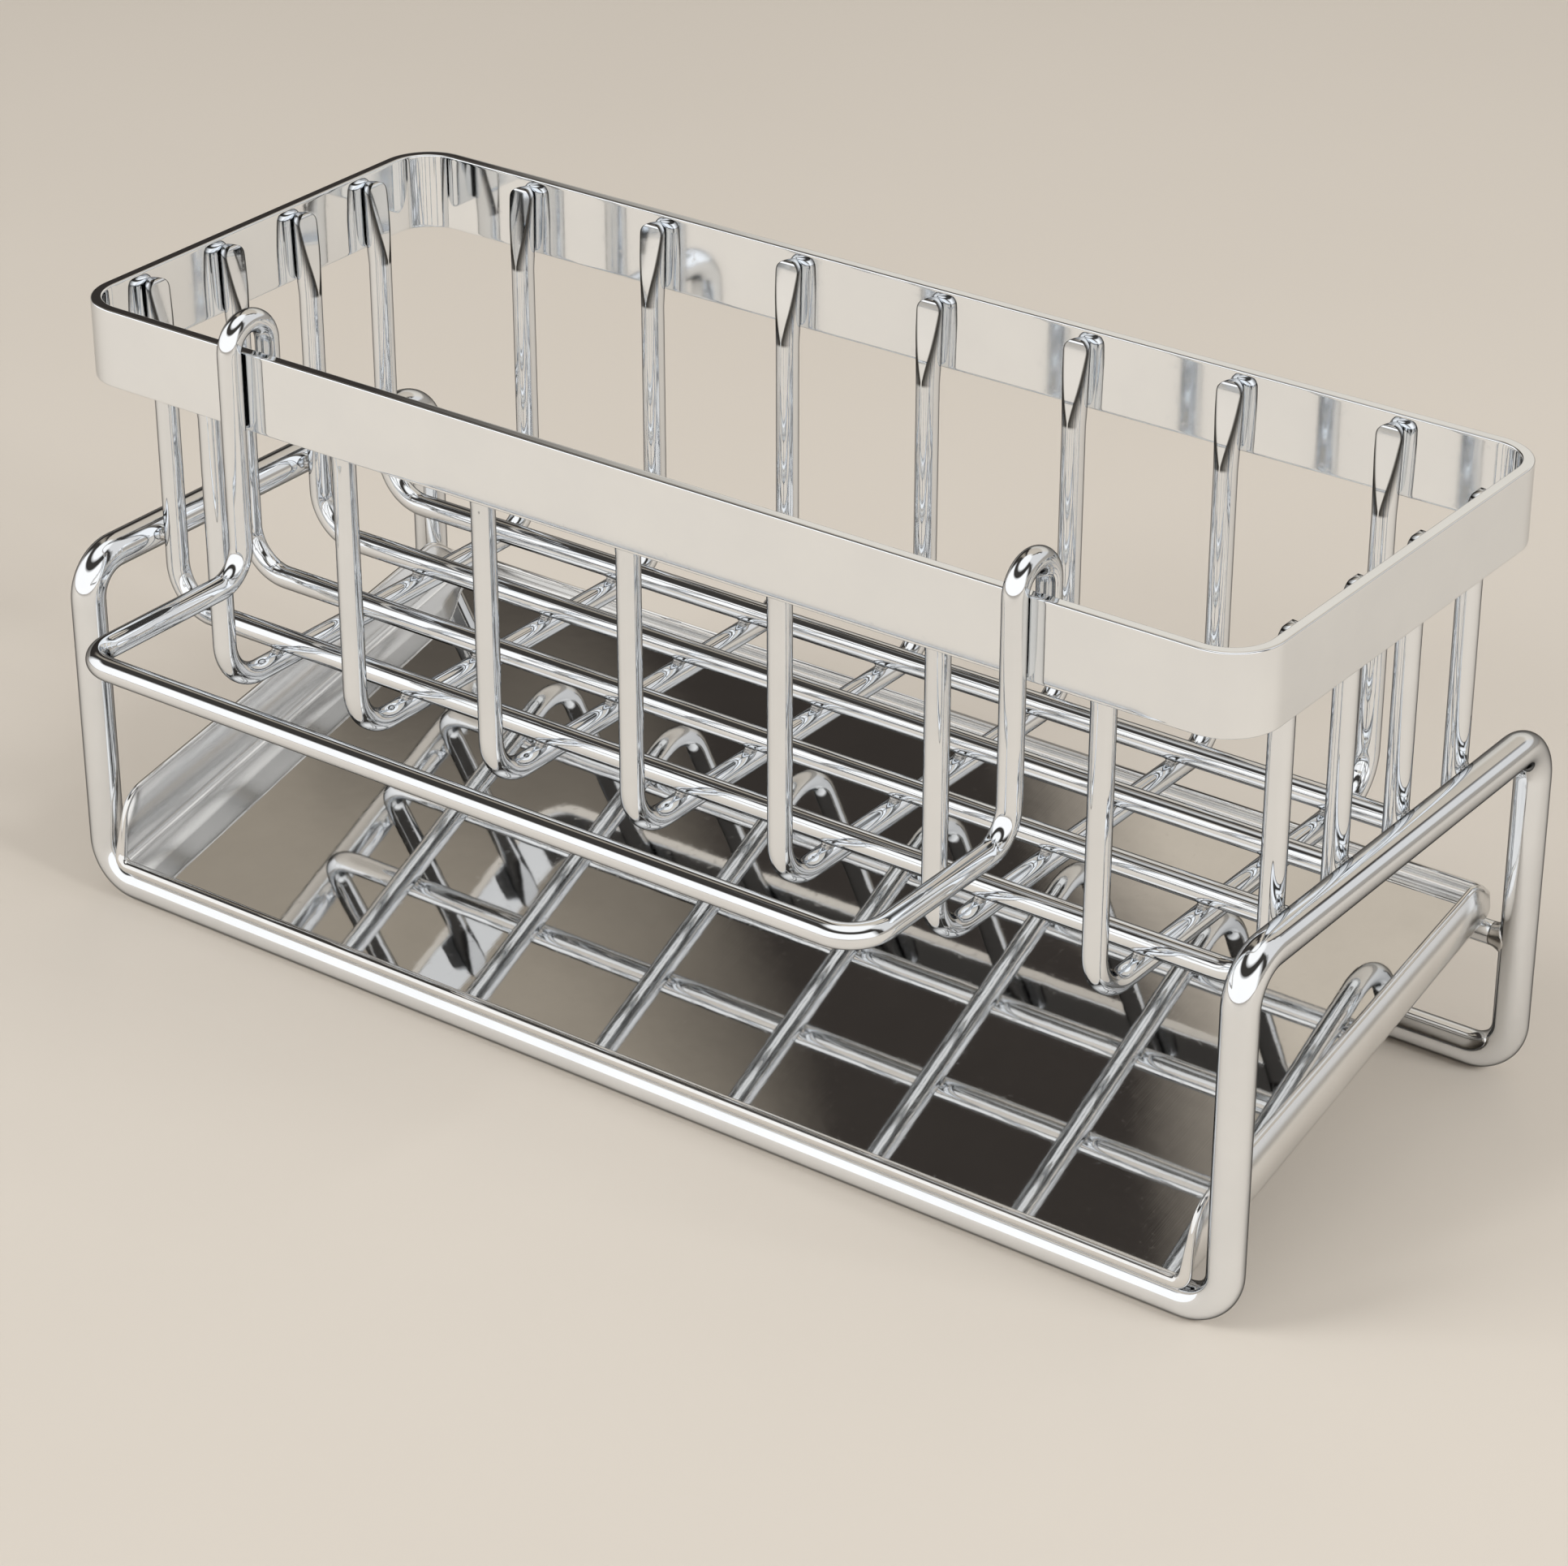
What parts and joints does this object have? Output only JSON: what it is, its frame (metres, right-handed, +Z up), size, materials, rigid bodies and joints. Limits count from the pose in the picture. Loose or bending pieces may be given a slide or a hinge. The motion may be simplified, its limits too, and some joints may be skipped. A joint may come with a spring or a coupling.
{
  "type": "sink drying rack",
  "caption": "Wire drying rack for a sink's edge: an oblong basket with a flat rim band on a bent-wire stand, a lift-off cloth rail in front and a sloping drip tray below.",
  "frame": {"origin": "on the worktop, at the middle of the overall box", "axes": "+X along the rack, +Y from the sink side to the back, +Z up"},
  "size_m": [0.235, 0.1348, 0.1183],
  "materials": {
    "stand_steel": "mirror-polished stainless wire",
    "wire_steel": "mirror-polished stainless wire",
    "band_steel": "polished stainless strip",
    "tray_steel": "mirror-polished stainless sheet"
  },
  "bodies": {
    "rack": {"stand_frame": "stand_steel", "rim_band": "band_steel", "tray_bar": "stand_steel", "cross_wire_1": "wire_steel", "cross_wire_2": "wire_steel", "cross_wire_3": "wire_steel", "cross_wire_4": "wire_steel", "cross_wire_5": "wire_steel", "cross_wire_6": "wire_steel", "cross_wire_7": "wire_steel", "long_wire_1": "wire_steel", "long_wire_2": "wire_steel", "long_wire_3": "wire_steel", "long_wire_4": "wire_steel"},
    "rail": {"cloth_rail": "wire_steel"},
    "tray": {"drip_tray": "tray_steel"}
  },
  "joints": [
    {"name": "rail_lift", "type": "slide", "parent": "rack", "child": "rail", "axis": [0, 0, 1], "range_m": [0, 0.02]},
    {"name": "tray_pull", "type": "slide", "parent": "rack", "child": "tray", "axis": [0, -1, 0], "range_m": [0, 0.09]}
  ]
}
